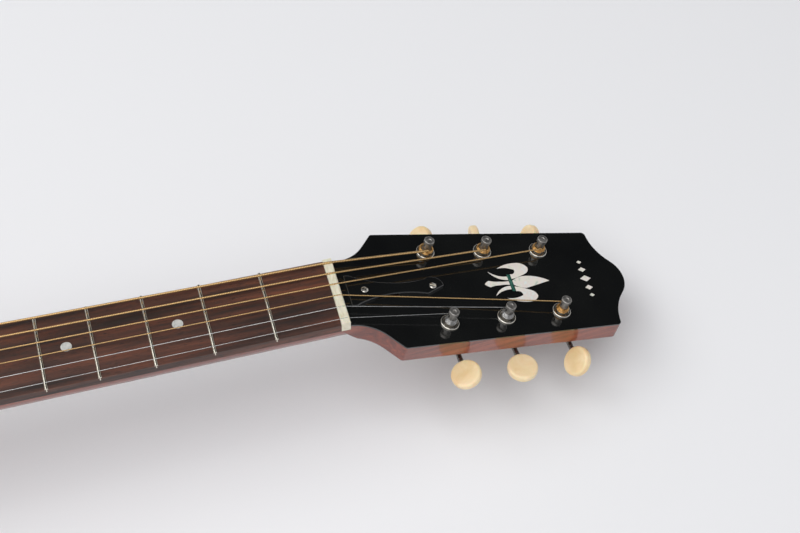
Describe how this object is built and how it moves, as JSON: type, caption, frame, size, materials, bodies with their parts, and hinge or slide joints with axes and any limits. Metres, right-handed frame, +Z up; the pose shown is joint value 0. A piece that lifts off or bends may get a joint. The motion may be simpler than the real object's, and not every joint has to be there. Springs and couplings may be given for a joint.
{
  "type": "acoustic guitar",
  "caption": "Small-bodied flat-top acoustic guitar with a black slanted head, open side tuners with disc buttons, steel strings, rosewood board and bridge, and a braced hollow body.",
  "frame": {"origin": "middle of the footprint on the plane that the back plate rests on", "axes": "+X towards the head, +Y towards the bass side, +Z up out of the soundboard"},
  "size_m": [1.0225, 0.375, 0.1155],
  "materials": {
    "spruce": "gloss lacquer",
    "mahogany": "gloss lacquer",
    "mahogany_inside": "raw",
    "spruce_inside": "raw",
    "rosewood": "oiled",
    "bone": "polished",
    "pearl": "polished",
    "green_inlay": "polished",
    "black_lacquer": "gloss lacquer",
    "ivory_binding": "gloss",
    "tortoise": "gloss",
    "nickel": "polished nickel",
    "steel": "plain",
    "brass": "plain",
    "bronze_winding": "wound wire",
    "plain_wire": "drawn wire",
    "cream_button": "polished",
    "ebony_pin": "polished"
  },
  "bodies": {
    "root": {"soundboard": "spruce", "back_plate": "mahogany", "sides": "mahogany", "bindings": "ivory_binding", "linings": "mahogany_inside", "neck_block": "mahogany_inside", "tail_block": "mahogany_inside", "top_braces": "spruce_inside", "bridge_plate": "rosewood", "back_braces": "spruce_inside", "rosette": "ivory_binding", "pickguard": "tortoise", "bridge": "rosewood", "saddle": "bone", "bridge_pins": "ebony_pin", "end_pin": "ebony_pin", "neck": "mahogany", "heel_cap": "ivory_binding", "fingerboard": "rosewood", "frets": "nickel", "position_dots": "pearl", "nut": "bone", "head_veneer": "black_lacquer", "head_ornament": "pearl", "ornament_band": "green_inlay", "head_crest": "pearl", "truss_rod": "steel", "truss_rod_cover": "black_lacquer", "cover_screws": "nickel", "wound_strings": "bronze_winding", "plain_strings": "plain_wire", "post_bushings": "nickel", "tuner_plate_bass": "nickel", "tuner_plate_treble": "nickel", "plate_screws": "nickel"},
    "button_shaft_1": {"worm_shaft_1": "nickel", "button_1": "cream_button"},
    "post_1": {"string_post_1": "nickel", "post_gear_1": "brass"},
    "button_shaft_2": {"worm_shaft_2": "nickel", "button_2": "cream_button"},
    "post_2": {"string_post_2": "nickel", "post_gear_2": "brass"},
    "button_shaft_3": {"worm_shaft_3": "nickel", "button_3": "cream_button"},
    "post_3": {"string_post_3": "nickel", "post_gear_3": "brass"},
    "button_shaft_4": {"worm_shaft_4": "nickel", "button_4": "cream_button"},
    "post_4": {"string_post_4": "nickel", "post_gear_4": "brass"},
    "button_shaft_5": {"worm_shaft_5": "nickel", "button_5": "cream_button"},
    "post_5": {"string_post_5": "nickel", "post_gear_5": "brass"},
    "button_shaft_6": {"worm_shaft_6": "nickel", "button_6": "cream_button"},
    "post_6": {"string_post_6": "nickel", "post_gear_6": "brass"},
    "rod_nut": {"truss_rod_nut": "brass"}
  },
  "joints": [
    {"name": "button_1_turn", "type": "hinge", "parent": "root", "child": "button_shaft_1", "pos_m": [0.40288, 0.02492, 0.04905], "axis": [0.0451, 0.9989, -0.0124], "continuous": true},
    {"name": "post_1_turn", "type": "hinge", "parent": "root", "child": "post_1", "pos_m": [0.40114, 0.02523, 0.06716], "axis": [0.266, 0, 0.964], "continuous": true},
    {"name": "button_2_turn", "type": "hinge", "parent": "root", "child": "button_shaft_2", "pos_m": [0.43562, 0.02333, 0.04001], "axis": [0.0451, 0.9989, -0.0124], "continuous": true},
    {"name": "post_2_turn", "type": "hinge", "parent": "root", "child": "post_2", "pos_m": [0.43388, 0.02364, 0.05813], "axis": [0.266, 0, 0.964], "continuous": true},
    {"name": "button_3_turn", "type": "hinge", "parent": "root", "child": "button_shaft_3", "pos_m": [0.46836, 0.02174, 0.03098], "axis": [0.0451, 0.9989, -0.0124], "continuous": true},
    {"name": "post_3_turn", "type": "hinge", "parent": "root", "child": "post_3", "pos_m": [0.46662, 0.02204, 0.04909], "axis": [0.266, 0, 0.964], "continuous": true},
    {"name": "button_4_turn", "type": "hinge", "parent": "root", "child": "button_shaft_4", "pos_m": [0.46836, -0.02174, 0.03098], "axis": [-0.0451, 0.9989, 0.0124], "continuous": true},
    {"name": "post_4_turn", "type": "hinge", "parent": "root", "child": "post_4", "pos_m": [0.46662, -0.02204, 0.04909], "axis": [0.266, 0, 0.964], "continuous": true},
    {"name": "button_5_turn", "type": "hinge", "parent": "root", "child": "button_shaft_5", "pos_m": [0.43562, -0.02333, 0.04001], "axis": [-0.0451, 0.9989, 0.0124], "continuous": true},
    {"name": "post_5_turn", "type": "hinge", "parent": "root", "child": "post_5", "pos_m": [0.43388, -0.02364, 0.05813], "axis": [0.266, 0, 0.964], "continuous": true},
    {"name": "button_6_turn", "type": "hinge", "parent": "root", "child": "button_shaft_6", "pos_m": [0.40288, -0.02492, 0.04905], "axis": [-0.0451, 0.9989, 0.0124], "continuous": true},
    {"name": "post_6_turn", "type": "hinge", "parent": "root", "child": "post_6", "pos_m": [0.40114, -0.02523, 0.06716], "axis": [0.266, 0, 0.964], "continuous": true},
    {"name": "rod_nut_turn", "type": "hinge", "parent": "root", "child": "rod_nut", "pos_m": [0.36831, 0, 0.06993], "axis": [0.9992, 0, -0.0389], "range_deg": [-180, 180]}
  ],
  "couplings": [
    {"joint": "post_1_turn", "follows": "button_1_turn", "ratio": -0.083333},
    {"joint": "post_2_turn", "follows": "button_2_turn", "ratio": -0.083333},
    {"joint": "post_3_turn", "follows": "button_3_turn", "ratio": -0.083333},
    {"joint": "post_4_turn", "follows": "button_4_turn", "ratio": -0.083333},
    {"joint": "post_5_turn", "follows": "button_5_turn", "ratio": -0.083333},
    {"joint": "post_6_turn", "follows": "button_6_turn", "ratio": -0.083333}
  ]
}
